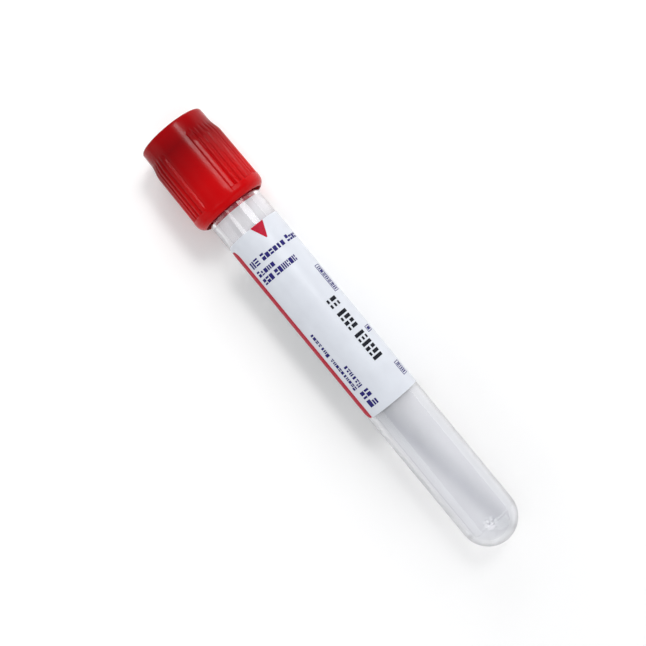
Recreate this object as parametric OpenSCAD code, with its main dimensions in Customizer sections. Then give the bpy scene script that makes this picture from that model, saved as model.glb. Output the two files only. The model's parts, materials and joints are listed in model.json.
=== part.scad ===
// Evacuated blood collection tube, 13 x 100 mm class, lying at rest on a level surface.
//
// Everything is built upright first: the tube stands on the tip of its round end at height 0,
// its axis is the Z axis, and the middle of one smooth cap panel faces +X.
// lying() then tips the whole tube over, so that the cap end points along +X and one smooth
// panel looks up. The cap is wider than the tube, so the axis rises a little towards the cap.
// All sizes are in millimetres and all angles in degrees. Angles round the tube start at the
// middle of the upper panel.

/* [Tube] */
// Length of the tube from the tip of its round end to its mouth
tube_len = 100; // [75:0.5:125]
// Outer diameter of the tube
tube_od = 13; // [12:0.1:16]
// Thickness of the tube's wall
tube_wall = 1; // [0.8:0.05:1.4]
// Thickness of the round end at its tip
tip_wall = 1.3; // [0.9:0.05:2]
// Rounding of the two edges of the tube's mouth
mouth_round = 0.3; // [0.15:0.05:0.38]
// Distance from the start of the round end down to the fine mould line round it
mould_line_at = 0.6; // [0.3:0.05:1.5]
// Width of the mould line
mould_line_w = 0.4; // [0.2:0.05:0.6]
// Depth of the mould line
mould_line_d = 0.08; // [0.03:0.01:0.1]
// Width of the moulding gate's dimple at the tip
gate_w = 1.6; // [1:0.1:2.4]
// Depth of the gate's dimple
gate_d = 0.15; // [0.05:0.05:0.3]

/* [Stopper] */
// Length of the plug inside the tube
plug_len = 9; // [7:0.5:11]
// Clearance between the plug and the tube's wall, all round
plug_gap = 0.02; // [0.02:0.01:0.08]
// Wall of the plug round the hollow in its underside
plug_wall = 2.1; // [1.5:0.1:2.8]
// Depth of that hollow
hollow_h = 5; // [3:0.5:6]
// Thickness of the flange between the tube's mouth and the cap's web
flange_t = 6; // [5:0.1:8]
// How far the flange reaches past the outside of the tube
flange_reach = 0.45; // [0.3:0.05:0.6]
// Clearance between the flange and the tube's mouth
seat_gap = 0.02; // [0.02:0.01:0.1]
// Rounding of the stopper's edges
stopper_round = 0.5; // [0.2:0.05:0.8]
// Diameter of the dish where the needle goes in
dish_d = 6; // [4:0.1:7]
// Depth of the dish
dish_h = 0.8; // [0.4:0.1:1]

/* [Cap] */
// Depth of the needle well in the top
well_h = 6; // [5:0.1:8]
// Wall round the needle well at the very top
well_wall = 1.5; // [1.2:0.1:2]
// Bevel round the mouth of the well
well_bevel = 0.3; // [0.1:0.05:0.5]
// Rounding of the top edge
top_round = 0.5; // [0.2:0.05:0.6]
// Thickness of the web that holds the stopper down
web_t = 1.2; // [1.1:0.1:1.8]
// How far the web reaches in from the wall of the well
web_reach = 1.8; // [1:0.1:2.2]
// How far the skirt reaches down past the tube's mouth
skirt_overlap = 8; // [6:0.1:10]
// Gap between the tube and the inside of the skirt
skirt_gap = 0.85; // [0.8:0.05:1.2]
// Wall of the skirt at the lower end of the two smooth panels
panel_wall = 0.85; // [0.7:0.05:1.3]
// How much the plain wall draws in from there to the top, on each side
wall_draft = 0.3; // [0:0.05:0.5]

/* [Grips] */
// How much of the circle each of the two ribbed grips covers
grip_sweep = 130; // [110:1:140]
// Distance from the top of the cap to the start of the grips
grip_start = 2.9; // [2:0.1:4]
// Height of the slope where the grips rise out of the wall
grip_slope = 3.5; // [2:0.1:5]
// How far the ribs' upper ends stand out past the panels' lower ends
grip_high_rise = 0.35; // [0.35:0.01:0.45]
// How far the ribs' lower ends stand out
grip_low_rise = 0.48; // [0.45:0.01:0.52]
// Number of ribs on each grip
rib_count = 14; // [10:1:18]
// Depth of the grooves between the ribs at their upper end
rib_depth = 0.3; // [0.15:0.05:0.3]
// Width of the grooves there
groove_w = 0.75; // [0.4:0.05:0.85]

/* [Cap base] */
// Height of the smooth base ring
ring_h = 2.7; // [2.4:0.1:3.5]
// How far the base ring stands out at the grips, past the panels' lower ends
ring_rise = 0.55; // [0.55:0.01:0.7]
// How far it stands out at the panels
ring_lip = 0.05; // [0.03:0.01:0.1]
// How much larger the radius of its flatter curve is, under each panel, than a round ring's
ring_flatness = 2.75; // [2:0.25:5]
// Radius of the rounded lower edge
edge_round = 2.2; // [1.8:0.1:2.3]
// Width of the flat lip left at the very bottom
edge_lip = 0.15; // [0.1:0.05:0.25]

/* [Label] */
// Length of the label along the tube
label_len = 47; // [44:0.5:56]
// Width of the label round the tube; the rest of the way round is the clear window
label_w = 34.6; // [26:0.2:36]
// Gap between the cap and the label
label_drop = 6.4; // [3:0.1:10]
// Thickness of the label
label_t = 0.1; // [0.08:0.01:0.15]
// Angle of the label's first edge
label_start = -66; // [-80:1:-45]
// Rounding of the label's two upper corners
label_high_round = 0.8; // [0.3:0.1:3]
// Rounding of its two lower corners
label_low_round = 2.2; // [0.3:0.1:3]

/* [Print] */
// Thickness of the ink
ink_t = 0.05; // [0.04:0.01:0.06]
// Width of the stripe down the label's first edge
stripe_w = 2; // [1:0.1:2.4]
// Distance from the label's top to the stripe
stripe_margin = 0.9; // [0.2:0.1:1.5]
// Width of the triangle's top side
triangle_w = 3.4; // [2:0.1:4]
// Height of the triangle
triangle_h = 3.5; // [2:0.1:4]
// Distance from the label's first edge to the middle of the triangle
triangle_at = 10.2; // [6:0.1:14]
// Height of the heading's bars
heading_h = 1.6; // [1.2:0.1:2]
// Height of the bars of small print
small_h = 1.4; // [0.8:0.1:1.6]
// Height of the two bars at the foot of the label
foot_h = 1.7; // [1:0.1:1.9]
// Height of the large figures' blocks
figure_h = 2.6; // [1.8:0.1:2.8]
// Width of the boxes of symbols
box_w = 2; // [1.4:0.1:2.2]
// Line width of those boxes
box_line = 0.2; // [0.15:0.05:0.25]

/* [Hidden] */
$fn = 96;
over = 1;                                  // how far a cutting shape passes what it cuts

tube_r = tube_od / 2;
bore_r = tube_r - tube_wall;
mould_line_flare = mould_line_w / mould_line_d / 2;
plug_r = bore_r - plug_gap;
flange_r = tube_r + flange_reach;
flange_low = tube_len + seat_gap;
web_low = flange_low + flange_t;
web_high = web_low + web_t;

skirt_r = tube_r + skirt_gap;
panel_r = skirt_r + panel_wall;
top_r = panel_r - wall_draft;
well_r = top_r - well_wall;
web_hole_r = well_r - web_reach;
cap_low = tube_len - skirt_overlap;
cap_high = web_high + well_h;

ring_top = cap_low + ring_h;
ring_r = panel_r + ring_rise;
ring_panel_r = panel_r + ring_lip;
ring_flat_r = ring_panel_r + ring_flatness;
grip_high = cap_high - grip_start;
grip_full = grip_high - grip_slope;        // the grips have their full height below this
grip_high_r = panel_r + grip_high_rise;
grip_low_r = panel_r + grip_low_rise;
grip_core_r = (skirt_r + panel_r) / 2;     // the grips' inner face, buried in the wall
grip_bury = 0.1;                           // how deep the slope's upper end starts in the wall
rib_root_r = grip_high_r - rib_depth;
rib_pitch = grip_sweep / rib_count;

label_r = tube_r + label_t;
label_top = cap_low - label_drop;
label_low = label_top - label_len;

// Print is laid out on the flat label, each piece as [distance from the first edge, distance
// below the label's top, width, length]. What stands at the foot of the label moves with it.
heading = [[2.9, 5.4, 2.8, heading_h], [6.4, 5.4, 6.3, heading_h], [13.4, 5.4, 4.1, heading_h]];
small_print = [[2.9, 7.8, 5.1, small_h], [2.9, 9.8, 3.3, small_h], [6.7, 9.8, 5.8, small_h]];
foot = [[3.8, label_len - 5.8, 2.6, foot_h], [3.8, label_len - 3.6, 2.6, foot_h]];
columns = [[3.1, label_len - 22, 1.1, 6.2], [3.1, label_len - 15.2, 1.1, 8.4],
           [4.6, label_len - 12.4, 1.2, 5.6]];
boxes = [[14.9, 14.4, box_w, 7], [14.9, 31, box_w, 1.5], [14.9, label_len - 6.2, box_w, 3.4]];
figures = [[11.2, 21.5, figure_h, 2.6], [11.2, 25, figure_h, 4.9], [11.2, 30.8, figure_h, 7.2]];
box_cell = 0.9;                            // length of each dark cell in a box of symbols
die_inset = 0.94;                          // how far in the label's corner arcs centre, per radius

// Angle that a width on the label's face takes up.
function sweep(w) = w / label_r * 180 / PI;

// Height of the rounded lower edge's centre above the bottom of the cap, where the ring's
// outer radius is r.
function edge_rise(r) = sqrt(pow(edge_round, 2) - pow(edge_round - (r - skirt_r - edge_lip), 2));

// Radius of the cap's plain wall at height z.
function wall_r(z) = panel_r - wall_draft * (z - ring_top) / (cap_high - ring_top);

// The tube lies on the start of its round end and on the base ring under one panel. Both are
// round in section, so the tilt is the one that sets both lowest points at the same level.
rest_run = cap_low + edge_rise(ring_panel_r) - tube_r;
rest_side = ring_panel_r - edge_round;
rest_tilt = atan2(rest_side, rest_run)
          + asin((edge_round - tube_r) / norm([rest_run, rest_side]));

// Distance along X from the middle of the round end to the cap's furthest point.
reach = (cap_high - top_round - tube_r) * cos(rest_tilt)
      + (top_r - top_round) * sin(rest_tilt) + top_round;

// ---- helpers ----

// Half of a disc's section, from the axis outwards, with rounded outer edges.
module disc_section(r, h, low = 0, high = 0) {
    difference() {
        square([r, h]);
        if (low > 0) translate([r - low, 0]) corner_waste(low);
        if (high > 0) translate([r - high, h]) mirror([0, 1]) corner_waste(high);
    }
}

// What a rounding of radius q takes off a square corner that points right and down.
module corner_waste(q) {
    difference() {
        translate([0, -over]) square([q + over, q + over]);
        translate([0, q]) circle(q);
    }
}

// The upright tube tipped over into its resting place, with the middle of its length at X = 0.
module lying() {
    translate([(tube_r - reach) / 2, 0, tube_r])
        rotate([180, -90 - rest_tilt, 0])
            translate([0, 0, -tube_r]) children();
}

// A patch of ink, given as [distance from the label's first edge, distance below its top,
// width, length].
module ink(patch) {
    translate([0, 0, label_top - patch[1] - patch[3]])
        rotate([0, 0, label_start + sweep(patch[0])])
            rotate_extrude(angle = sweep(patch[2]))
                translate([label_r, 0]) square([ink_t, patch[3]]);
}

// ---- sub-parts ----

// Clear tube with a round closed end and an open mouth.
module tube() {
    color([0.86, 0.9, 0.93, 0.45]) rotate_extrude() difference() {
        union() {
            translate([0, tube_r]) disc_section(tube_r, tube_len - tube_r, high = mouth_round);
            intersection() {
                translate([0, tube_r]) circle(tube_r);
                square([tube_r, tube_r + over]);
            }
        }
        // the bore, and the ball at its closed end
        translate([0, tip_wall + bore_r]) square([bore_r, tube_len]);
        intersection() {
            translate([0, tip_wall + bore_r]) circle(bore_r);
            square([tube_r, tube_len]);
        }
        // the inner edge of the mouth
        translate([bore_r + mouth_round, tube_len]) rotate([0, 0, 180]) corner_waste(mouth_round);
        // the mould line, a shallow V across the surface
        translate([0, tube_r]) rotate([0, 0, -asin(mould_line_at / tube_r)]) translate([tube_r, 0])
            polygon([[-mould_line_d, 0], [over, -mould_line_flare * (over + mould_line_d)],
                     [over, mould_line_flare * (over + mould_line_d)]]);
        // the gate's dimple
        gate_ball();
    }
}

// Section of the ball that dents the tip: gate_w across and gate_d deep.
module gate_ball() {
    ball_r = (pow(gate_w / 2, 2) + pow(gate_d, 2)) / (2 * gate_d);
    intersection() {
        translate([0, gate_d - ball_r]) circle(ball_r);
        translate([0, -over]) square([gate_w, tip_wall]);
    }
}

// Rubber stopper: a plug in the tube, a flange on its mouth, and a boss through the cap's web.
module stopper() {
    color("#7d1218") rotate_extrude() difference() {
        union() {
            translate([0, tube_len - plug_len])
                disc_section(plug_r, plug_len + flange_t / 2, low = stopper_round);
            translate([0, flange_low])
                disc_section(flange_r, flange_t, low = stopper_round, high = stopper_round);
            translate([0, flange_low]) square([web_hole_r, flange_t + web_t]);
        }
        translate([0, web_high - dish_h]) square([dish_d / 2, dish_h + over]);
        // the hollow underside, with a round roof
        translate([0, tube_len - plug_len - over])
            disc_section(plug_r - plug_wall, hollow_h + over, high = (plug_r - plug_wall) / 2);
    }
}

// Plastic cap: smooth at the top and on two panels, ribbed on two grips, on a round-edged base.
module cap() {
    color("#c3060f") difference() {
        union() {
            rotate_extrude() cap_wall_section();
            cap_base();
            for (side = [90, 270]) rotate([0, 0, side]) cap_grip();
        }
        rotate_extrude() cap_inside_section();
    }
}

// Section of the plain wall above the base ring, solid to the axis.
module cap_wall_section() {
    shoulder = cap_high - top_round;
    polygon([[0, ring_top], [panel_r, ring_top], [top_r, shoulder], [top_r - top_round, cap_high],
             [0, cap_high]]);
    translate([top_r - top_round, shoulder]) circle(top_round);
}

// The base ring: round under the grips and flatter under the panels.
module cap_base() {
    translate([0, 0, cap_low]) intersection() {
        rotate_extrude() base_section(ring_r, ring_r);
        cap_base_flat();
        rotate([0, 0, 180]) cap_base_flat();
    }
}

// The wide disc whose edge is the flatter curve under the panel that faces +X.
module cap_base_flat() {
    translate([ring_panel_r - ring_flat_r, 0, 0])
        rotate_extrude() base_section(ring_flat_r, ring_panel_r);
}

// Section of a disc of radius r with the rounded lower edge that the ring has at radius at_r.
module base_section(r, at_r) {
    rise = edge_rise(at_r);
    translate([0, rise]) square([r, ring_h - rise]);
    square([r - edge_round, ring_h]);
    intersection() {
        translate([r - edge_round, rise]) circle(edge_round);
        square([r, ring_h]);
    }
}

// One grip, centred on +X, with its grooves.
module cap_grip() {
    difference() {
        rotate([0, 0, -grip_sweep / 2]) rotate_extrude(angle = grip_sweep)
            polygon([[grip_core_r, ring_top], [grip_low_r, ring_top], [grip_high_r, grip_full],
                     [wall_r(grip_high) - grip_bury, grip_high], [grip_core_r, grip_high]]);
        for (i = [1 : rib_count - 1]) rotate([0, 0, i * rib_pitch - grip_sweep / 2]) groove();
    }
}

// A V-shaped groove, groove_w wide where the ribs reach their full height.
module groove() {
    flare = groove_w / rib_depth / 2;
    reach_out = ring_r - rib_root_r;
    translate([rib_root_r, 0, ring_top]) linear_extrude(cap_high - ring_top)
        polygon([[0, 0], [reach_out, -reach_out * flare], [reach_out, reach_out * flare]]);
}

// Section of everything that is open inside the cap: needle well, web hole, stopper's seat, skirt.
module cap_inside_section() {
    translate([0, web_high]) square([well_r, cap_high]);
    translate([0, cap_high]) polygon([[0, 0], [well_r, -well_bevel], [well_r + well_bevel, 0],
                                      [well_r + well_bevel, over], [0, over]]);
    translate([0, tube_len]) square([web_hole_r, cap_high]);
    translate([0, flange_low]) disc_section(flange_r, flange_t, high = stopper_round);
    translate([0, cap_low - over]) square([skirt_r, flange_low - cap_low + over]);
}

// Film label wrapped round the tube, open along the clear window.
module label() {
    color("#e6e9f0") difference() {
        translate([0, 0, label_low]) rotate([0, 0, label_start])
            rotate_extrude(angle = sweep(label_w))
                translate([tube_r, 0]) square([label_t, label_len]);
        label_corners(label_start);
        mirror([0, 1, 0]) label_corners(-label_start - sweep(label_w));
    }
}

// What the rounded corners take off the label along an edge that starts it at that angle.
module label_corners(start) {
    rotate([0, 0, start]) {
        translate([0, 0, label_low]) rotate([90, 0, 90])
            linear_extrude(tube_od) die_corner(label_low_round);
        translate([0, 0, label_top]) rotate([90, 0, 90])
            linear_extrude(tube_od) mirror([0, 1]) die_corner(label_high_round);
    }
}

// What a rounding of radius q takes off a corner that lies at the origin and points left and
// down. Its arc passes a little outside both edges, so it meets them at a slight angle.
module die_corner(q) {
    inset = die_inset * q;
    difference() {
        translate([-over, -over]) square(inset + over);
        translate([inset, inset]) circle(q);
    }
}

// Red print: the stripe down the first edge and the triangle at the top.
module label_print_red() {
    color("#b3202f") {
        difference() {
            ink([0, stripe_margin, stripe_w, label_len - stripe_margin]);
            label_corners(label_start);
        }
        intersection() {
            translate([0, 0, label_top - triangle_h]) rotate_extrude()
                translate([label_r, 0]) square([ink_t, triangle_h]);
            rotate([0, 0, label_start + sweep(triangle_at)]) translate([0, 0, label_top])
                rotate([90, 0, 90]) linear_extrude(tube_od)
                    polygon([[-triangle_w / 2, 0], [triangle_w / 2, 0], [0, -triangle_h]]);
        }
    }
}

// Navy print: bars and columns that stand for lines of words, and boxes of symbols.
module label_print_navy() {
    color("#28246b") {
        for (patch = concat(heading, small_print, foot, columns)) ink(patch);
        for (patch = boxes) symbol_box(patch);
    }
}

// An outlined box with a row of dark cells along it.
module symbol_box(patch) {
    cells = floor((patch[3] - box_line) / (2 * box_cell));
    side = patch[2] - 2 * box_line;
    difference() {
        ink(patch);
        translate([0, 0, label_top - patch[1] - patch[3] + box_line])
            rotate([0, 0, label_start + sweep(patch[0] + box_line)])
                rotate_extrude(angle = sweep(side))
                    translate([label_r - over, 0]) square([2 * over, patch[3] - 2 * box_line]);
    }
    if (cells > 1) for (i = [1 : cells])
        ink([patch[0] + 2 * box_line, patch[1] + patch[3] * i / (cells + 1) - box_cell / 2,
             side - 2 * box_line, box_cell]);
}

// Black print: a column of large figures, as plain blocks.
module label_print_black() {
    color("#17171c") for (patch = figures) ink(patch);
}

lying() tube();
lying() stopper();
lying() cap();
lying() label();
lying() label_print_red();
lying() label_print_navy();
lying() label_print_black();
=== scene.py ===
"""Looks of the blood collection tube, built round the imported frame.

Every piece is modelled upright in millimetres: the tube stands on the tip of its round end at
height 0, its axis is Z and the middle of the upper smooth cap panel faces +X. Turns are degrees
round the axis from there. BASIS and TIP, which come from the record and the tube's own box, lay
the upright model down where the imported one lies.
"""

import json
import math
import random

import bmesh
import bpy
import numpy as np
from mathutils import Matrix, Vector


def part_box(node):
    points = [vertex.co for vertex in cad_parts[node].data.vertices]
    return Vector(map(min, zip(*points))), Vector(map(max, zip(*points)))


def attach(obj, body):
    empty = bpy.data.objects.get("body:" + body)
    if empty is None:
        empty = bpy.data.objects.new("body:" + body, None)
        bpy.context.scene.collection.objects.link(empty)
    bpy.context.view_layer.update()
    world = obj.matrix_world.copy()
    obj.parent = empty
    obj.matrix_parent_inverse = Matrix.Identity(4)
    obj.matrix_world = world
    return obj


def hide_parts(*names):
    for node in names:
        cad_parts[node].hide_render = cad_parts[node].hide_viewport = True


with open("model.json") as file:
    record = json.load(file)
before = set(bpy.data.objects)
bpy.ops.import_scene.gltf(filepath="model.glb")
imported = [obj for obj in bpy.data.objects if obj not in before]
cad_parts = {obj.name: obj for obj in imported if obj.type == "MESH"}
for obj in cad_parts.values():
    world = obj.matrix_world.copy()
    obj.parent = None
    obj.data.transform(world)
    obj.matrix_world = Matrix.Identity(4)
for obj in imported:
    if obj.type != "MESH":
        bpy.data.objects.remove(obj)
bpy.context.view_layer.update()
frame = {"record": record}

MM = 0.001

# ---- sizes in millimetres and degrees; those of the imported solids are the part's own ----
# tube
TUBE_LEN = 100.0
TUBE_R = 6.5
BORE_R = 5.5
TIP_WALL = 1.3
MOUTH_ROUND = 0.3
MOULD_AT = 0.6  # from the start of the round end down to the mould line
MOULD_W = 0.4
MOULD_D = 0.08
GATE_W = 1.6  # the moulding gate's dimple at the tip
GATE_D = 0.15

# stopper
PLUG_LEN = 9.0
PLUG_R = 5.48
HOLLOW_R = 3.38  # the hollow in the plug's underside
HOLLOW_H = 5.0
FLANGE_R = 6.95
FLANGE_LOW = 100.02
FLANGE_T = 6.0
STOPPER_ROUND = 0.5
STOPPER_EDGE = 0.3  # the rounding of the hollow's, the boss's and the dish's edges
DISH_R = 3.0
DISH_FOOT_R, DISH_FOOT_D = 2.6, 0.5  # the middle of the rounding at the dish's foot
DISH_FLOOR = ((1.6, 0.76), (0.8, 0.68), (0, 0.66))  # radius and depth, rising to the middle

# cap
CAP_LOW, CAP_HIGH = 92.0, 113.22
SKIRT_R = 7.35
WEB_LOW, WEB_HIGH = 106.02, 107.22
WEB_HOLE_R = 4.6
WEB_BEVEL = 0.15
SEAT_ROUND = 0.5
SEAT_MIDDLE = 103.0  # the middles split long straight walls into shorter faces
SKIRT_MIDDLES = (98.0, 95.0)
SKIRT_BEVEL_H, SKIRT_BEVEL_W = 0.1, 0.06
WELL_R = 6.4
WELL_MOUTH = ((0.35, 0), (0.1, 0.12), (0, 0.3))  # its soft bevel: past WELL_R, below the rim
WELL_MIDDLE = 110.5
WELL_FOOT_ROUND = 0.4
PANEL_R = 8.2  # the plain wall at the base ring
TOP_R = 7.9  # the plain wall at the top
TOP_ROUND = 0.5
RING_TOP = 94.7
RING_R = 8.75  # the base ring at the grips
RING_PANEL_R = 8.25  # the base ring at the panels
RING_FLAT_R = 11.0  # its flatter curve there
RING_BLEND = 0.08  # how softly the two run together
EDGE_ROUND = 2.2
EDGE_LIP = 0.15
LEDGE_ROUND = 0.28
PANEL_FLOW = (RING_TOP - 1.3, RING_TOP + 1.5)  # heights between which the panels leave the ring

# grips
GRIP_SWEEP = 130.0
GRIP_EDGE = 1.8  # degrees over which a grip rises out of the panel
GRIP_HIGH = 110.32  # where the ribs' upper slope meets the wall
GRIP_FULL = 106.82  # where that slope starts
GRIP_HIGH_R = 8.55
GRIP_LOW_R = 8.68
GRIP_SLOPE = (GRIP_FULL - 0.25, GRIP_HIGH - 0.35)  # heights between which the grips run out
RIB_COUNT = 14
RIB_LEAN = 0.17  # how much the first rib leans down towards the panel
GROOVE_D = 0.42
GROOVE_HALF = 1.75  # degrees
GROOVE_THINS = 0.35  # the share of its depth that a groove loses on its way up
GROOVE_END = (GRIP_FULL + 0.6, GRIP_HIGH + 0.1)  # heights between which the grooves run out
GROOVE_START = (0.35, 0.75)  # ribs from the grip's edge, between which the grooves set in
TURN_STEP = 0.75  # between the cap's samples
FINE_STEP, FINE_REACH = 0.26, 2.6  # the same beside a grip's edge

# label and print
LABEL_R = 6.6
LABEL_GAP = 0.005  # between the film and the tube
LABEL_TOP = 85.6
LABEL_LEN = 47.0
LABEL_W = 34.6
LABEL_START = -66.0
CORNER_HIGH, CORNER_LOW = 0.8, 2.2
INK_LOW, INK_HIGH = LABEL_R - 0.03, LABEL_R + 0.025
PATCH_STEP = 0.35  # between the points of a patch, round the tube
STRIPE_W = 2.0
STRIPE_TIP_W = 0.35
STRIPE_FROM, STRIPE_FULL = 0.9, 3.4  # its start and its full width, below the label's top
STRIPE_TIP_LEAN = 0.33  # how far its tip draws away from the label's edge
STRIPE_END_SWEEP = 1.25  # radians of the label's lower corner that it follows
STRIPE_EDGE = 0.02  # the label's edge that stays bare
THINNEST = 0.015
TRIANGLE_AT = 10.2
TRIANGLE_HALF_W = 1.7
TRIANGLE_TIP_HALF_W = 0.14
TRIANGLE_H = 3.5

# ---- from upright millimetres to the row frame ----
mounts = {m["name"]: m for m in frame["record"]["mounts"]}
TO_CAP = -Vector(mounts["barrel"]["axis"]).normalized()
ACROSS = Vector((0, -1, 0))
TO_PANEL = ACROSS.cross(TO_CAP)
BASIS = np.array([TO_PANEL, ACROSS, TO_CAP])
radius = mounts["barrel"]["dims"]["r_mm"] * MM
tube_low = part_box("tube")[0]
TIP = np.array(Vector((tube_low.x + radius, 0, tube_low.z + radius)) - TO_CAP * radius)


def placed(points):
    """Upright points in millimetres, as points of the row frame in metres."""
    return np.asarray(points, float) * MM @ BASIS + TIP


def polar(r, turn, high):
    """The upright point at radius r, turned that many degrees from the upper panel's middle."""
    a = math.radians(turn)
    return (r * math.cos(a), r * math.sin(a), high)


# ---- mesh helpers ----
def piece(name, node, body, points, faces, materials, face_slots=None, crease=32.0):
    """A mesh from upright points that stands for a node and rides on a body.

    It is smooth, but for edges sharper than crease.
    """
    mesh = bpy.data.meshes.new(name)
    mesh.from_pydata(placed(points).tolist(), [], faces)
    for m in materials:
        mesh.materials.append(m)
    if face_slots is not None:
        mesh.polygons.foreach_set("material_index", face_slots)
    bm = bmesh.new()
    bm.from_mesh(mesh)
    bmesh.ops.recalc_face_normals(bm, faces=bm.faces)
    bm.to_mesh(mesh)
    bm.free()
    mesh.shade_smooth()
    mesh.set_sharp_from_angle(angle=math.radians(crease))
    ob = bpy.data.objects.new(name, mesh)
    bpy.context.scene.collection.objects.link(ob)
    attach(ob, body)
    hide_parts(node)


def skin(rings, loop=False):
    """Points and faces of a skin over rings. A ring is an N x 3 array, or one point for a pole."""
    rings = [np.atleast_2d(ring) for ring in rings]
    starts = np.cumsum([0] + [len(ring) for ring in rings]).tolist()
    faces = []
    count = len(rings)
    for k in range(count if loop else count - 1):
        after = (k + 1) % count
        a, b = starts[k], starts[after]
        na, nb = len(rings[k]), len(rings[after])
        n = max(na, nb)
        for i in range(n):
            j = (i + 1) % n
            if na == 1:
                faces.append((a, b + j, b + i))
            elif nb == 1:
                faces.append((a + i, a + j, b))
            else:
                faces.append((a + i, a + j, b + j, b + i))
    return np.vstack(rings), faces


def turned(profile, segments):
    """Rings of a turned solid, from a profile of (radius, height). It may touch the axis."""
    angles = np.linspace(0, 2 * np.pi, segments, endpoint=False)
    rings = []
    for r, z in profile:
        if r == 0:
            rings.append(np.array([[0, 0, z]]))
        else:
            high = np.full(segments, z)
            rings.append(np.column_stack([r * np.cos(angles), r * np.sin(angles), high]))
    return rings


def arc(cr, cz, r, start, end, steps):
    """Points of an arc in a profile, from start to end degrees, both included."""
    return [
        (cr + r * math.cos(a), cz + r * math.sin(a))
        for a in np.radians(np.linspace(start, end, steps))
    ]


def smooth(x, low, high):
    """0 below low, 1 above high, and a smooth rise between."""
    t = np.clip((np.asarray(x, float) - low) / (high - low), 0, 1)
    return t * t * (3 - 2 * t)


# ---- node helpers ----
MIX_FIRST, MIX_SECOND, MIX_RESULT = 6, 7, 2  # the sockets of a Mix node that hold colours


def material(name, colour, roughness, **sockets):
    """A material with one Principled shader. Returns it with its node tree and that shader."""
    mat = bpy.data.materials.new(name)
    mat.use_nodes = True
    tree = mat.node_tree
    shader = tree.nodes["Principled BSDF"]
    shader.inputs["Base Color"].default_value = (*colour, 1)
    shader.inputs["Roughness"].default_value = roughness
    for key, value in sockets.items():
        shader.inputs[key.replace("_", " ")].default_value = value
    return mat, tree, shader


def own_place(tree):
    """The piece's own coordinates, which are metres of the row frame."""
    return tree.nodes.new("ShaderNodeTexCoord").outputs["Object"]


def own_axes(tree):
    """The same coordinates, as three values named X, Y and Z."""
    apart = tree.nodes.new("ShaderNodeSeparateXYZ")
    tree.links.new(own_place(tree), apart.inputs["Vector"])
    return apart.outputs


def worked_out(tree, kind, operation, values):
    """The outputs of a node that works on values, each another node's output or a fixed one."""
    node = tree.nodes.new(kind)
    node.operation = operation
    for socket, value in zip(node.inputs, values):
        if isinstance(value, bpy.types.NodeSocket):
            tree.links.new(value, socket)
        else:
            socket.default_value = value
    return node.outputs


def maths(tree, operation, *values):
    """The result of a Math node."""
    return worked_out(tree, "ShaderNodeMath", operation, values)["Value"]


def vector_maths(tree, operation, *values):
    """The outputs of a Vector Math node, named Vector and Value."""
    return worked_out(tree, "ShaderNodeVectorMath", operation, values)


def weighed(tree, value, weight, rest=0):
    """value times a fixed weight, plus rest."""
    return maths(tree, "MULTIPLY_ADD", value, weight, rest)


def ranged(tree, value, low, high, start=0.3, end=0.7, rise="LINEAR"):
    """value, with start to end mapped to low to high."""
    node = tree.nodes.new("ShaderNodeMapRange")
    node.interpolation_type = rise
    for key, number in (("From Min", start), ("From Max", end), ("To Min", low), ("To Max", high)):
        node.inputs[key].default_value = number
    tree.links.new(value, node.inputs["Value"])
    return node.outputs["Result"]


def noise(tree, scale, detail=3, roughness=0.5, stretch=None):
    """The value of a noise on the piece's own coordinates."""
    node = tree.nodes.new("ShaderNodeTexNoise")
    node.inputs["Scale"].default_value = scale
    node.inputs["Detail"].default_value = detail
    node.inputs["Roughness"].default_value = roughness
    where = own_place(tree)
    if stretch is not None:
        mapping = tree.nodes.new("ShaderNodeMapping")
        mapping.inputs["Scale"].default_value = stretch
        tree.links.new(where, mapping.inputs["Vector"])
        where = mapping.outputs["Vector"]
    tree.links.new(where, node.inputs["Vector"])
    return node.outputs["Fac"]


def up_the_tube(tree, low, high):
    """0 at one height of the upright tube and 1 at another, for a piece that lies in the row."""
    low_x, high_x = placed([(0, 0, low), (0, 0, high)])[:, 0]
    return ranged(tree, own_axes(tree)["X"], 0, 1, float(low_x), float(high_x))


def tinted(tree, shader, value, first, second):
    """Gives the shader a colour that goes from first to second as value goes from 0 to 1."""
    node = tree.nodes.new("ShaderNodeMix")
    node.data_type = "RGBA"
    node.inputs[MIX_FIRST].default_value = (*first, 1)
    node.inputs[MIX_SECOND].default_value = (*second, 1)
    tree.links.new(value, node.inputs["Factor"])
    tree.links.new(node.outputs[MIX_RESULT], shader.inputs["Base Color"])


def clouded(tree, shader, first, second, scale, detail=3):
    """Gives the shader a colour that wanders between two."""
    tinted(tree, shader, ranged(tree, noise(tree, scale, detail), 0, 1), first, second)


def mottled(tree, shader, low, high, scale, detail=3):
    """Lets the shader's roughness wander between two values."""
    value = ranged(tree, noise(tree, scale, detail), low, high)
    tree.links.new(value, shader.inputs["Roughness"])


def grained(tree, shader, height, scale, detail=3):
    """Gives the shader a fine bump of that height in millimetres."""
    node = tree.nodes.new("ShaderNodeBump")
    node.inputs["Strength"].default_value = 0.5
    node.inputs["Distance"].default_value = height * MM
    tree.links.new(noise(tree, scale, detail), node.inputs["Height"])
    tree.links.new(node.outputs["Normal"], shader.inputs["Normal"])


def lets_lamps_through(mat, share):
    """Lamps shine through the clear wall, so that what is inside and under it isn't black."""
    tree = mat.node_tree
    path = tree.nodes.new("ShaderNodeLightPath")
    clear = tree.nodes.new("ShaderNodeBsdfTransparent")
    clear.inputs["Color"].default_value = (share, share, share, 1)
    mix = tree.nodes.new("ShaderNodeMixShader")
    tree.links.new(path.outputs["Is Shadow Ray"], mix.inputs[0])
    tree.links.new(tree.nodes["Principled BSDF"].outputs[0], mix.inputs[1])
    tree.links.new(clear.outputs[0], mix.inputs[2])
    tree.links.new(mix.outputs[0], tree.nodes["Material Output"].inputs["Surface"])


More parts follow.
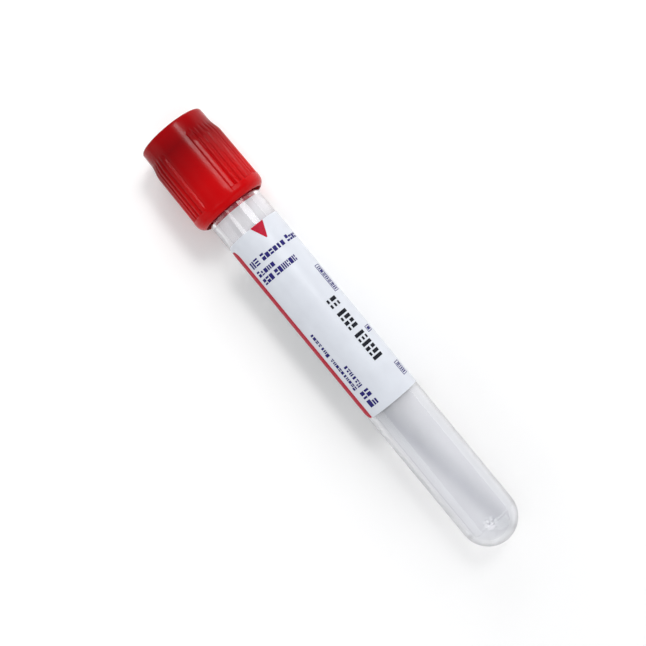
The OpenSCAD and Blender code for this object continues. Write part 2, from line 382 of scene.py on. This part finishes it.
# ---- materials ----
PLASTIC_IOR = 1.57
CLEAR_TINT, CLEAR_TINT_ALONG = (0.96, 0.966, 0.98), (0.5, 0.505, 0.52)


def cap_plastic():
    """Red plastic with a random tone, and painted light and shade in its colour along the tube."""
    mat, tree, shader = material(
        "cap_plastic", (0.4, 0.001, 0.003), 0.22, IOR=1.5, Specular_IOR_Level=0.09
    )
    skirt, waist, top = 98, 108.5, 112.5
    # painted shade: the colour darkens from the skirt up to the waist, over the stopper; a random
    # tone lies on it
    painted_shade_and_tone = weighed(tree, noise(tree, 160, 4), 0.12, up_the_tube(tree, skirt, waist))
    # painted light: the top ring, clear of the stopper, is painted a little lighter again
    painted_shade_and_tone = weighed(tree, up_the_tube(tree, waist, top), -0.37, painted_shade_and_tone)
    painted_shade_and_tone = ranged(tree, painted_shade_and_tone, 0, 1, 0.05, 1.05)
    tinted(tree, shader, painted_shade_and_tone, (0.49, 0.0006, 0.002), (0.2, 0.0004, 0.002))
    mottled(tree, shader, 0.19, 0.25, 700)
    grained(tree, shader, 0.004, 1500, 2)
    return mat


def clear_plastic():
    """The tube's clear wall."""
    mat, tree, shader = material(
        "clear_plastic", CLEAR_TINT, 0.02, IOR=PLASTIC_IOR, Transmission_Weight=1.0
    )
    # a look along the wall passes more of the faintly grey plastic
    glance = tree.nodes.new("ShaderNodeLayerWeight").outputs["Facing"]
    tinted(tree, shader, ranged(tree, glance, 0, 1, 0.5, 0.75), CLEAR_TINT, CLEAR_TINT_ALONG)
    mottled(tree, shader, 0.01, 0.03, 500)
    lets_lamps_through(mat, 0.9)
    return mat


def mouth_plastic():
    """The mouth's rounded end, a little dull from the mould's parting face."""
    mat, tree, shader = material(
        "mouth_plastic", (0.93, 0.935, 0.945), 0.3, IOR=PLASTIC_IOR, Transmission_Weight=0.7
    )
    mottled(tree, shader, 0.24, 0.36, 900)
    lets_lamps_through(mat, 0.8)
    return mat


def streak(tree, start, end, half_width):
    """1 on the line between two upright points, falling to 0 at half_width to either side of it.

    The distance is measured as seen from above, and the streak runs on past both points.
    """
    a, b = (Vector(p) for p in placed([start, end]))
    beside = (b - a).normalized().cross(TO_PANEL).normalized()
    from_line = vector_maths(tree, "SUBTRACT", own_place(tree), a)["Vector"]
    away = maths(tree, "ABSOLUTE", vector_maths(tree, "DOT_PRODUCT", from_line, beside)["Value"])
    return ranged(tree, away, 1, 0, 0, half_width * MM, rise="SMOOTHSTEP")


def glint_spot(tree, centre, reach):
    """How near the wall is to an upright point, and a coarse grain from -1 to 1 where it is."""
    away = vector_maths(tree, "DISTANCE", own_place(tree), Vector(placed(centre)))["Value"]
    near = ranged(tree, away, 1, 0, reach * 0.35 * MM, reach * MM)
    grain = ranged(tree, noise(tree, 1500, 2, stretch=(1.3, 0.8, 1)), -1, 1, 0.4, 0.6)
    return near, maths(tree, "MULTIPLY", near, grain)


def coated_inside():
    """The bore's faint coating, greyest at the round end, with painted shadow, light and glint in
    it.
    """
    mat, tree, shader = material("coated_inside", (0.7, 0.71, 0.74), 0.12, IOR=PLASTIC_IOR)
    dose_and_painted_shadow = weighed(tree, up_the_tube(tree, 70, 30), 0.55)
    # painted shadow: the wide and the narrow streak stand for the tube's own shadow on the table,
    # seen through the wall
    wide = streak(tree, polar(BORE_R, -30, 42), polar(BORE_R, -6, 24), 3.6)
    wide = maths(tree, "MULTIPLY", wide, up_the_tube(tree, 22, 36))
    narrow = streak(tree, polar(BORE_R, -14, 33), polar(BORE_R, 22, 7), 2.6)
    dose_and_painted_shadow = weighed(tree, narrow, 0.26, dose_and_painted_shadow)
    dose_and_painted_shadow = weighed(tree, wide, 0.14, dose_and_painted_shadow)
    dose_and_painted_shadow = weighed(tree, noise(tree, 120, 4, 0.6, stretch=(0.35, 1, 1)), 0.25, dose_and_painted_shadow)
    # painted highlight: a lighter, coarse-grained, milkier spot near the foot of the bore
    # stands for a glint
    painted_glint, grain = glint_spot(tree, polar(BORE_R, 3, 5.9), 1.8)
    shade = ranged(tree, weighed(tree, grain, -0.42, dose_and_painted_shadow), 0, 1, 0.5, 1.05)
    tinted(tree, shader, shade, (0.93, 0.927, 0.953), (0.5, 0.51, 0.542))
    # painted light: just under the stopper the mist is thicker, whiter and no darker,
    # lifting the shade that the cap casts there
    clearness = ranged(tree, dose_and_painted_shadow, 0.72, 0.42, 0.1, 1.05)
    clearness = weighed(tree, up_the_tube(tree, 85, 90), -0.34, clearness)
    clearness = weighed(tree, painted_glint, -0.18, clearness)
    tree.links.new(clearness, shader.inputs["Transmission Weight"])
    dullness = ranged(tree, dose_and_painted_shadow, 0.04, 0.2, 0.1, 1.05)
    tree.links.new(dullness, shader.inputs["Roughness"])
    lets_lamps_through(mat, 0.75)
    return mat


def rubber():
    """The stopper's dark red rubber, dull and a little rough."""
    mat, tree, shader = material(
        "stopper_rubber", (0.4, 0.004, 0.018), 0.6, IOR=1.52, Specular_IOR_Level=0.2
    )
    clouded(tree, shader, (0.34, 0.002, 0.012), (0.46, 0.006, 0.024), 300, 4)
    grained(tree, shader, 0.02, 2200)
    return mat


def film():
    """The label's bluish white film, with a faint gloss over a fine grain."""
    mat, tree, shader = material(
        "label_film", (0.64, 0.66, 0.71), 0.38, IOR=1.47, Coat_Weight=0.25, Coat_Roughness=0.18
    )
    clouded(tree, shader, (0.615, 0.635, 0.685), (0.655, 0.68, 0.73), 220, 4)
    grained(tree, shader, 0.006, 1800)
    return mat


def ink(name, dark, light):
    """Print, a little uneven in colour and gloss."""
    mat, tree, shader = material(name, light, 0.4, IOR=1.47, Specular_IOR_Level=0.1)
    clouded(tree, shader, dark, light, 2400)
    mottled(tree, shader, 0.34, 0.46, 900, 2)
    return mat


# ---- tube ----
COATED, MOUTH = 1, 2  # its material slots, after the clear wall's


def make_tube():
    gate_r = ((GATE_W / 2) ** 2 + GATE_D**2) / (2 * GATE_D)
    gate_sweep = math.degrees(math.asin(GATE_W / 2 / gate_r))
    gate_edge = math.degrees(math.asin(GATE_W / 2 / TUBE_R))
    gate = arc(0, GATE_D - gate_r, gate_r, 90, 90 - gate_sweep, 6)
    line = -math.degrees(math.asin(MOULD_AT / TUBE_R))
    half_line = math.degrees(MOULD_W / 2 / TUBE_R)
    # short bands next to the mouth keep its rounding out of the long faces' smooth shading
    straight = np.linspace(TUBE_R + 0.6, TUBE_LEN - 1, 24)
    straight = np.append(straight, [TUBE_LEN - MOUTH_ROUND - 0.1, TUBE_LEN - MOUTH_ROUND])
    mouth = (TUBE_LEN - MOUTH_ROUND, MOUTH_ROUND)
    mouth_out = arc(TUBE_R - MOUTH_ROUND, *mouth, 10, 90, 9)
    mouth_in = arc(BORE_R + MOUTH_ROUND, *mouth, 90, 180, 7)
    coat_high = TUBE_LEN - PLUG_LEN
    down = straight[::-1][1:]
    outer = (
        [(0, gate[0][1])]
        + gate[1:-1]
        + arc(0, TUBE_R, TUBE_R, -90 + gate_edge, line - half_line, 34)
        + arc(0, TUBE_R, TUBE_R - MOULD_D, line, line, 1)
        + arc(0, TUBE_R, TUBE_R, line + half_line, 0, 4)
        + [(TUBE_R, z) for z in straight]
        + mouth_out
    )
    bare = mouth_in + [(BORE_R, z) for z in down if z > coat_high]
    coated = (
        [(BORE_R, coat_high)]
        + [(BORE_R, z) for z in down if z < coat_high]
        + arc(0, TIP_WALL + BORE_R, BORE_R, 0, -88, 32)
        + [(0, TIP_WALL)]
    )
    segments = 160
    points, faces = skin(turned(outer + bare + coated, segments))
    # a band of faces between two rings has one face per segment
    slots = np.zeros(len(faces), int)
    slots[-segments * (len(coated) - 1) :] = COATED
    first, last = len(outer) - len(mouth_out) - 1, len(outer) + len(mouth_in) - 1
    slots[segments * first : segments * last] = MOUTH
    materials = [clear_plastic(), coated_inside(), mouth_plastic()]
    piece("tube_wall", "tube", "tube", points, faces, materials, slots)


# ---- stopper ----
def make_stopper():
    r, edge = STOPPER_ROUND, STOPPER_EDGE
    low = TUBE_LEN - PLUG_LEN
    high = FLANGE_LOW + FLANGE_T
    hollow_top = low + HOLLOW_H
    roof = HOLLOW_R / 2
    profile = (
        [(0, hollow_top)]
        + arc(HOLLOW_R - roof, hollow_top - roof, roof, 90, 0, 9)
        + [(HOLLOW_R, low + edge)]
        + arc(HOLLOW_R + edge, low + edge, edge, 180, 270, 5)
        + arc(PLUG_R - r, low + r, r, -90, 0, 7)
        + [(PLUG_R, low + PLUG_LEN / 3), (PLUG_R, FLANGE_LOW)]
        + arc(FLANGE_R - r, FLANGE_LOW + r, r, -90, 0, 7)
        + [(FLANGE_R, FLANGE_LOW + FLANGE_T / 2)]
        + arc(FLANGE_R - r, high - r, r, 0, 90, 7)
        + [(WEB_HOLE_R, high), (WEB_HOLE_R, WEB_HIGH - edge)]
        + arc(WEB_HOLE_R - edge, WEB_HIGH - edge, edge, 0, 90, 5)
        + arc(DISH_R + edge, WEB_HIGH - edge, edge, 90, 165, 5)
        + arc(DISH_FOOT_R, WEB_HIGH - DISH_FOOT_D, edge, 0, -90, 5)
        + [(floor_r, WEB_HIGH - deep) for floor_r, deep in DISH_FLOOR]
    )
    points, faces = skin(turned(profile, 96))
    piece("stopper_body", "stopper", "closure", points, faces, [rubber()])


# ---- cap ----
def around():
    """Turns of the cap's samples, closer together at the edges of the grips."""
    turns = set(np.round(np.arange(0, 360, TURN_STEP), 4))
    fine = np.arange(-FINE_REACH, FINE_REACH + FINE_STEP / 2, FINE_STEP)
    for middle in (0.0, 180.0):
        for edge in (-1, 1):
            at = middle + edge * (180 - GRIP_SWEEP) / 2
            turns |= {round(float(at + d) % 360, 4) for d in fine}
    return np.array(sorted(turns))


def grip_forms(turns):
    """For each turn: 1 inside a grip and 0 outside, the first rib's lean, and 1 in a groove."""
    across = turns % 180 - 90  # from the middle of the nearer grip
    from_edge = GRIP_SWEEP / 2 - np.abs(across)
    inside = np.clip((from_edge + GRIP_EDGE / 2) / GRIP_EDGE, 0, 1)
    pitch = GRIP_SWEEP / RIB_COUNT
    lean = RIB_LEAN * (1 - np.clip(from_edge / pitch, 0, 1))
    ribs = across / pitch + RIB_COUNT / 2
    to_groove = np.abs(ribs - np.round(ribs)) * pitch
    groove = np.exp(-((to_groove / GROOVE_HALF) ** 2))
    start, full = GROOVE_START
    return inside, lean, groove * smooth(from_edge, pitch * start, pitch * full)


def cap_inside():
    """The profile down the needle well, through the web, round the seat and down the skirt."""
    return (
        [(WELL_R + past, CAP_HIGH - below) for past, below in WELL_MOUTH]
        + [(WELL_R, WELL_MIDDLE), (WELL_R, WEB_HIGH + WELL_FOOT_ROUND + 0.1)]
        + arc(WELL_R - WELL_FOOT_ROUND, WEB_HIGH + WELL_FOOT_ROUND, WELL_FOOT_ROUND, 0, -90, 6)
        + [(WEB_HOLE_R + WEB_BEVEL, WEB_HIGH), (WEB_HOLE_R, WEB_HIGH - WEB_BEVEL)]
        + [(WEB_HOLE_R, WEB_LOW)]
        + arc(FLANGE_R - SEAT_ROUND, WEB_LOW - SEAT_ROUND, SEAT_ROUND, 90, 0, 6)
        + [(FLANGE_R, SEAT_MIDDLE), (FLANGE_R, FLANGE_LOW), (SKIRT_R, FLANGE_LOW)]
        + [(SKIRT_R, high) for high in SKIRT_MIDDLES]
        + [(SKIRT_R, CAP_LOW + SKIRT_BEVEL_H), (SKIRT_R + SKIRT_BEVEL_W, CAP_LOW)]
    )


def make_cap():
    turns = around()
    cosine, sine = np.cos(np.radians(turns)), np.sin(np.radians(turns))
    inside_grip, lean, groove = grip_forms(turns)
    # the base ring: round at the grips and flatter at the panels, with the two run together
    flat_off = RING_PANEL_R - RING_FLAT_R
    flat = flat_off * np.abs(cosine) + np.sqrt(RING_FLAT_R**2 - (flat_off * sine) ** 2)
    both = np.exp(-flat / RING_BLEND) + np.exp(-RING_R / RING_BLEND)
    ring = -RING_BLEND * np.log(both)

    def ring_at(radii, high):
        radii = np.broadcast_to(radii, turns.shape)
        high = np.broadcast_to(high, turns.shape)
        return np.column_stack([radii * cosine, radii * sine, high])

    def panel(high):
        """The plain wall's radius. Low down it runs into the base ring."""
        wall = PANEL_R - (PANEL_R - TOP_R) * (high - RING_TOP) / (CAP_HIGH - RING_TOP)
        return wall + (ring - wall) * (1 - smooth(high, *PANEL_FLOW))

    rings = []
    # underneath and the rounded lower edge
    lip = SKIRT_R + EDGE_LIP
    rise = np.sqrt(EDGE_ROUND**2 - (EDGE_ROUND - (ring - lip)) ** 2)
    centre_r = ring - EDGE_ROUND
    first = -np.arccos(np.clip((lip - centre_r) / EDGE_ROUND, -1, 1))
    for t in np.linspace(0, 1, 15):
        a = first * (1 - t)
        high = CAP_LOW + rise + EDGE_ROUND * np.sin(a)
        rings.append(ring_at(centre_r + EDGE_ROUND * np.cos(a), high))
    # up the ring to its rounded shoulder under the grips; the panels flow straight into it
    shoulder = RING_TOP - LEDGE_ROUND
    at_top = panel(RING_TOP)
    foot = at_top + inside_grip * (GRIP_LOW_R - lean - at_top) - groove * GROOVE_D
    for high in np.linspace(CAP_LOW + rise.max() + 0.1, shoulder, 4):
        rings.append(ring_at(panel(high) + inside_grip * (ring - panel(high)), high))
    for a in np.radians(np.linspace(15, 90, 6)):
        high = shoulder + LEDGE_ROUND * math.sin(a)
        ledge = ring - np.minimum(ring - foot, LEDGE_ROUND) * (1 - math.cos(a))
        rings.append(ring_at(panel(high) + inside_grip * (ledge - panel(high)), high))
    # the wall with its two ribbed grips, in levels closer together over the ribs' upper slope
    levels = np.concatenate(
        [
            [RING_TOP + 0.02, RING_TOP + 0.12, RING_TOP + 0.35],
            np.linspace(RING_TOP + 0.7, GRIP_FULL - 1.2, 18),
            np.linspace(GRIP_FULL - 0.7, GRIP_HIGH + 0.5, 26),
            np.linspace(GRIP_HIGH + 1.0, CAP_HIGH - TOP_ROUND, 4),
        ]
    )
    for high in levels:
        up = min((high - RING_TOP) / (GRIP_FULL - RING_TOP), 1)
        full = GRIP_LOW_R + (GRIP_HIGH_R - GRIP_LOW_R) * up
        slope = 1 - smooth(high, *GRIP_SLOPE)
        radii = panel(high) + inside_grip * slope * (full - lean - panel(high))
        fade = (1 - GROOVE_THINS * up) * (1 - smooth(high, *GROOVE_END))
        rings.append(ring_at(radii - groove * GROOVE_D * fade, high))
    # over the top edge and back down the inside
    top_edge = arc(TOP_R - TOP_ROUND, CAP_HIGH - TOP_ROUND, TOP_ROUND, 15, 90, 6)
    for r, z in top_edge + cap_inside():
        rings.append(ring_at(r, z))
    points, faces = skin(rings, loop=True)
    piece("cap_shell", "cap", "closure", points, faces, [cap_plastic()], crease=40)


# ---- label and print ----
def edge_inset(below):
    """How far the label's rounded corners draw its long edges in, at a distance below its top."""
    inset = 0.0
    for corner, away in ((CORNER_HIGH, below), (CORNER_LOW, LABEL_LEN - below)):
        if away < corner:
            inset = max(inset, corner - math.sqrt(max(corner**2 - (corner - away) ** 2, 0)))
    return inset


def wrapped(along, below, r):
    """The upright point that is that far from the label's first edge and below its top."""
    return polar(r, LABEL_START + math.degrees(along / LABEL_R), LABEL_TOP - below)


def patch(rows, r_low, r_high):
    """A thin closed solid on the label. Each row is (distance below the top, start, end)."""
    width = max(end - start for _, start, end in rows)
    count = max(2, int(width / PATCH_STEP) + 1)
    points = []
    for r in (r_high, r_low):
        for below, start, end in rows:
            for t in np.linspace(0, 1, count):
                points.append(wrapped(start + (end - start) * t, below, r))
    half = len(rows) * count
    faces = []
    for i in range(len(rows) - 1):
        for j in range(count - 1):
            a = i * count + j
            faces.append((a, a + 1, a + count + 1, a + count))
            faces.append((half + a, half + a + count, half + a + count + 1, half + a + 1))
    # the rim: along the first row, down the far side, back along the last row and up again
    last = (len(rows) - 1) * count
    rim = (
        list(range(count))
        + [i * count + count - 1 for i in range(1, len(rows))]
        + list(range(last + count - 2, last - 1, -1))
        + [i * count for i in range(len(rows) - 2, 0, -1)]
    )
    for a, b in zip(rim, rim[1:] + rim[:1]):
        faces.append((a, half + a, half + b, b))
    return points, faces


def joined(parts):
    """One list of points and faces from several."""
    points, faces = [], []
    for p, f in parts:
        faces += [tuple(len(points) + i for i in face) for face in f]
        points += list(p)
    return np.array(points), faces


def make_label():
    high_rows = [CORNER_HIGH * (1 - math.cos(a)) for a in np.linspace(0, math.pi / 2, 7)]
    low_rows = [CORNER_LOW * (1 - math.cos(a)) for a in np.linspace(0, math.pi / 2, 9)]
    middle = np.linspace(CORNER_HIGH, LABEL_LEN - CORNER_LOW, 14)[1:-1]
    belows = high_rows + list(middle) + [LABEL_LEN - x for x in reversed(low_rows)]
    rows = [(b, edge_inset(b), LABEL_W - edge_inset(b)) for b in belows]
    points, faces = patch(rows, TUBE_R + LABEL_GAP, LABEL_R)
    piece("label_film", "label", "tube", points, faces, [film()], crease=50)


def make_print(name, node, parts, dark, light):
    """The piece of one colour of print, from its blocks."""
    points, faces = joined(parts)
    piece(name, node, "tube", points, faces, [ink(name, dark, light)], crease=50)


def bar(along, below, width, length):
    """A block of ink, from its place and size round the label and down it."""
    return patch(
        [(below, along, along + width), (below + length, along, along + width)], INK_LOW, INK_HIGH
    )


def stripe():
    """The red stripe, tapered at its start and rounded with the label's corner at its end."""
    rows = []
    belows = [*np.linspace(STRIPE_FROM, STRIPE_FULL, 9)]
    belows += [*np.linspace(5, LABEL_LEN - CORNER_LOW, 10)]
    sweep = np.linspace(0, STRIPE_END_SWEEP, 9)[1:]
    belows += [LABEL_LEN - CORNER_LOW * (1 - math.sin(a)) for a in sweep]
    for below in belows:
        t = min(max((STRIPE_FULL - below) / (STRIPE_FULL - STRIPE_FROM), 0), 1)
        inner = STRIPE_TIP_W + (STRIPE_W - STRIPE_TIP_W) * math.sqrt(max(1 - t * t, 0))
        outer = max(edge_inset(below), STRIPE_EDGE) + STRIPE_TIP_LEAN * t**3
        if inner - outer > THINNEST:
            rows.append((below, outer, inner))
    return patch(rows, INK_LOW, INK_HIGH)


def triangle():
    """The red fill mark, with its point down."""
    rows = []
    for t in np.linspace(0, 1, 9):
        half = TRIANGLE_HALF_W + (TRIANGLE_TIP_HALF_W - TRIANGLE_HALF_W) * t
        below = STRIPE_EDGE + TRIANGLE_H * t
        rows.append((below, TRIANGLE_AT - half, TRIANGLE_AT + half))
    return patch(rows, INK_LOW, INK_HIGH)


# Plain marks in place of the small print, as rectangles (left, low, right, high) in a 1 x 1 cell.
SMALL = [
    [(0.0, 0.0, 0.86, 0.72)],
    [(0.0, 0.0, 0.86, 0.28), (0.0, 0.44, 0.86, 0.72)],
    [(0.0, 0.0, 0.34, 0.72), (0.52, 0.0, 0.86, 0.72)],
    [(0.1, 0.0, 0.66, 0.72)],
    [(0.0, 0.0, 0.86, 0.2), (0.2, 0.36, 0.66, 0.72)],
]
TALL = [
    [(0.0, 0.0, 0.86, 1.0)],
    [(0.0, 0.0, 0.86, 0.22), (0.0, 0.39, 0.86, 0.61), (0.0, 0.78, 0.86, 1.0)],
    [(0.0, 0.0, 0.33, 1.0), (0.53, 0.0, 0.86, 1.0)],
    [(0.0, 0.0, 0.86, 0.5), (0.0, 0.7, 0.86, 1.0)],
    [(0.0, 0.0, 0.86, 0.28), (0.0, 0.48, 0.86, 1.0)],
    [(0.0, 0.0, 0.34, 1.0), (0.54, 0.0, 0.86, 0.42), (0.54, 0.6, 0.86, 1.0)],
]
FIGURES = [
    [(0.04, 0.0, 0.74, 1.0)],
    [(0.04, 0.0, 0.74, 0.42), (0.04, 0.58, 0.74, 1.0)],
    [(0.04, 0.0, 0.74, 0.2), (0.04, 0.4, 0.74, 0.6), (0.04, 0.8, 0.74, 1.0)],
    [(0.04, 0.0, 0.74, 0.62), (0.04, 0.8, 0.74, 1.0)],
]
# Where the rows of marks are: from the label's first edge, below its top, width and length. A row
# across the label names its marks too, or None for a tall one and then small ones.
ROWS_ACROSS = (
    (2.9, 5.4, 2.8, 1.6, TALL),
    (6.4, 5.4, 6.3, 1.6, None),
    (13.4, 5.4, 4.1, 1.6, None),
    (2.9, 7.8, 5.1, 1.4, None),
    (2.9, 9.8, 3.3, 1.4, TALL),
    (6.7, 9.8, 5.8, 1.4, TALL),
    (3.8, LABEL_LEN - 5.8, 2.6, 1.7, TALL),
    (3.8, LABEL_LEN - 3.6, 2.6, 1.7, None),
)
ROWS_UP = (
    (3.1, LABEL_LEN - 22, 1.1, 6.2),
    (3.1, LABEL_LEN - 15.2, 1.1, 8.4),
    (4.6, LABEL_LEN - 12.4, 1.2, 5.6),
)
FRAMES = (
    (14.9, 14.4, 2.0, 7.0),
    (14.9, 31.0, 2.0, 1.5),
    (14.9, LABEL_LEN - 6.2, 2.0, 3.4),
)
BLACK_ROWS = (
    (11.2, 21.5, 2.6, 2.6),
    (11.2, 25.0, 2.6, 4.9),
    (11.2, 30.8, 2.6, 7.2),
)
# The darkest and the lightest of each ink.
RED = (0.39, 0.004, 0.022), (0.49, 0.007, 0.032)
NAVY = (0.018, 0.015, 0.12), (0.028, 0.022, 0.17)
BLACK = (0.008, 0.008, 0.012), (0.02, 0.02, 0.028)
MARK_GAP = 0.05  # the share of a cell that stays free before its mark
FRAME_LINE = 0.16
FRAME_MARGIN = 2.4 * FRAME_LINE


def row_of_marks(along, below, width, height, rng, upright=False, pitch=0.7, marks=None):
    """A row of marks across the label, or up along it, that fills width x height.

    Each mark is about pitch times as wide as it is tall, and never the same as the last one.
    """
    run, tall = (height, width) if upright else (width, height)
    count = max(1, round(run / (tall * pitch)))
    step = run / count
    parts, last = [], None
    for i in range(count):
        shapes = marks or (TALL if i == 0 else SMALL)
        last = rng.choice([k for k in range(len(shapes)) if k != last])
        for x0, y0, x1, y1 in shapes[last]:
            a0, a1 = ((i + x * (1 - MARK_GAP) + MARK_GAP) * step for x in (x0, x1))
            b0, b1 = tall * (1 - y1), tall * (1 - y0)
            if upright:
                parts.append(bar(along + b0, below + height - a1, b1 - b0, a1 - a0))
            else:
                parts.append(bar(along + a0, below + b0, a1 - a0, b1 - b0))
    return parts


def framed(along, below, width, length, rng):
    """A thin outlined box with marks inside, or with one block where it is short."""
    line = FRAME_LINE
    parts = [bar(along, below, width, line), bar(along, below + length - line, width, line)]
    parts += [bar(along, below + line, line, length - 2 * line)]
    parts += [bar(along + width - line, below + line, line, length - 2 * line)]
    inner_size = (width - 2 * FRAME_MARGIN, length - 2 * FRAME_MARGIN)
    inside = (along + FRAME_MARGIN, below + FRAME_MARGIN, *inner_size)
    if length > width:
        parts += row_of_marks(*inside, rng, upright=True, pitch=0.72, marks=TALL)
    else:
        parts += [bar(*inside)]
    return parts


def make_prints():
    make_print("print_red", "label_print_red", [stripe(), triangle()], *RED)
    rng = random.Random(7)
    navy, black = [], []
    for *where, marks in ROWS_ACROSS:
        navy += row_of_marks(*where, rng, marks=marks)
    for where in ROWS_UP:
        navy += row_of_marks(*where, rng, upright=True, pitch=0.8)
    for where in FRAMES:
        navy += framed(*where, rng)
    for where in BLACK_ROWS:
        black += row_of_marks(*where, rng, upright=True, pitch=0.45, marks=FIGURES)
    make_print("print_navy", "label_print_navy", navy, *NAVY)
    make_print("print_black", "label_print_black", black, *BLACK)


# ---- stage, in metres of the row frame ----
FLOOR_R = 0.6
FADE = (0.015, 0.35)  # across the fade's oval, where the table starts to fade and is white
PAINTED_LIGHT_SIDE = (-0.005, -0.009)  # in Y, where the glow beside the cap sets in and is full
BY_CAP = (0.029, 0.036)  # the same in X


def make_floor():
    bm = bmesh.new()
    bmesh.ops.create_circle(bm, cap_ends=True, segments=128, radius=FLOOR_R)
    mesh = bpy.data.meshes.new("floor")
    bm.to_mesh(mesh)
    bm.free()
    floor = bpy.data.objects.new("floor", mesh)
    bpy.context.scene.collection.objects.link(floor)
    mat, tree, shader = material(
        "floor_table", (0.93, 0.93, 0.93), 0.8, Emission_Color=(1, 1, 1, 1)
    )
    tinted(tree, shader, noise(tree, 30), (0.955, 0.947, 0.937), (0.968, 0.96, 0.95))
    # painted light: away from the tube the table is given a glow, fading it into the white room
    # where the lamps no longer reach it; the glow's oval is twice as long as it is wide
    oval = vector_maths(tree, "MULTIPLY_ADD", own_place(tree), (0.5, 1, 1), (0.012, 0, 0))
    away = vector_maths(tree, "LENGTH", oval["Vector"])["Value"]
    fade = ranged(tree, away, 0, 1, *FADE)
    # painted light: beside the cap, on the side away from its shadow, the table glows white,
    # hiding the shade there and the red it takes from the cap
    axes = own_axes(tree)
    painted_light_side = ranged(tree, axes["Y"], 0, 1, *PAINTED_LIGHT_SIDE)
    by_cap = ranged(tree, axes["X"], 0, 1, *BY_CAP)
    painted_glow = weighed(tree, maths(tree, "MULTIPLY", painted_light_side, by_cap), 0.2, fade)
    tree.links.new(painted_glow, shader.inputs["Emission Strength"])
    mesh.materials.append(mat)


# Soft boxes, in upright millimetres and degrees: name, turn, height, width round the tube, length
# along it, radiance. The oval ones hang LAMP_AWAY from the axis and face it at their own height.
# The rectangular ones stand past the tube's ends and face its axis at END_LAMP_AIM.
LAMP_AWAY = 420
OVAL_LAMPS = (
    ("key", 44, 138, 200, 145, 3.3),
    ("cap_key", 33, 210, 85, 105, 25),
    ("band", -20, 118, 150, 60, 2.0),
    ("top", -5, 95, 520, 110, 0.6),
    ("right", 74, 95, 230, 110, 0.3),
    ("left", -65, 58, 300, 500, 0.8),
)
END_LAMP_AWAY, END_LAMP_AIM = 450, 60
END_LAMPS = (
    ("cap_end", 48, 600, 300, 300, 3.6),
    ("tip_end", 48, -480, 600, 450, 1.0),
    ("left_tip", -60, -480, 600, 450, 0.6),
)


def soft_box(name, at, aim, wide, long, radiance, shape):
    """A soft box at one upright point, facing the axis at one height, long along the tube."""
    light = bpy.data.lights.new(name, "AREA")
    light.shape = shape
    light.size, light.size_y = wide * MM, long * MM
    fill = math.pi / 4 if shape == "ELLIPSE" else 1
    light.energy = math.pi * radiance * fill * light.size * light.size_y
    ob = bpy.data.objects.new(name, light)
    bpy.context.scene.collection.objects.link(ob)
    start = Vector(placed(at))
    back = (start - Vector(placed((0, 0, aim)))).normalized()
    side = TO_CAP.cross(back).normalized()
    turn = Matrix((side, back.cross(side), back)).transposed().to_4x4()
    ob.matrix_world = Matrix.Translation(start) @ turn


def make_room():
    """The room: dim all round, but white where the camera looks past the floor's rim."""
    world = bpy.data.worlds.new("studio")
    bpy.context.scene.world = world
    world.use_nodes = True
    tree = world.node_tree
    dim = tree.nodes["Background"]
    dim.inputs["Color"].default_value = (0.95, 0.97, 1.0, 1)
    dim.inputs["Strength"].default_value = 0.5
    white = tree.nodes.new("ShaderNodeBackground")
    white.inputs["Color"].default_value = (1, 1, 1, 1)
    mix = tree.nodes.new("ShaderNodeMixShader")
    path = tree.nodes.new("ShaderNodeLightPath")
    tree.links.new(path.outputs["Is Camera Ray"], mix.inputs[0])
    tree.links.new(dim.outputs[0], mix.inputs[1])
    tree.links.new(white.outputs[0], mix.inputs[2])
    tree.links.new(mix.outputs[0], tree.nodes["World Output"].inputs["Surface"])


def make_lamps():
    for name, turn, high, *looks in OVAL_LAMPS:
        soft_box(name, polar(LAMP_AWAY, turn, high), high, *looks, "ELLIPSE")
    for name, turn, high, *looks in END_LAMPS:
        soft_box(name, polar(END_LAMP_AWAY, turn, high), END_LAMP_AIM, *looks, "RECTANGLE")


# ---- camera, in upright millimetres and degrees ----
CAMERA_TURN, CAMERA_AWAY, CAMERA_HIGH = 9.5, 269.7, 58.1
AIM_HIGH, AIM_SIDE = 60.76, -0.945
ROLL = 39.5  # of the picture, from the tube standing upright in it
LENS, SENSOR = 70.1, 36.0


def make_camera():
    at = Vector(placed(polar(CAMERA_AWAY, CAMERA_TURN, CAMERA_HIGH)))
    side = Vector(placed(polar(1, CAMERA_TURN + 90, 0)) - placed((0, 0, 0))).normalized()
    aim = Vector(placed((0, 0, AIM_HIGH))) + side * AIM_SIDE * MM
    forward = (aim - at).normalized()
    up = (TO_CAP - forward * TO_CAP.dot(forward)).normalized()
    right = forward.cross(up)
    roll = math.radians(ROLL)
    image_right = right * math.cos(roll) - up * math.sin(roll)
    image_up = right * math.sin(roll) + up * math.cos(roll)
    camera = bpy.data.cameras.new("camera")
    camera.lens, camera.sensor_width = LENS, SENSOR
    camera.clip_start, camera.clip_end = 0.01, 10
    ob = bpy.data.objects.new("camera", camera)
    bpy.context.scene.collection.objects.link(ob)
    turn = Matrix((image_right, image_up, -forward)).transposed().to_4x4()
    ob.matrix_world = Matrix.Translation(at) @ turn
    bpy.context.scene.camera = ob


make_tube()
make_stopper()
make_cap()
make_label()
make_prints()
make_floor()
make_room()
make_lamps()
make_camera()
bpy.context.scene.view_settings.view_transform = "Standard"
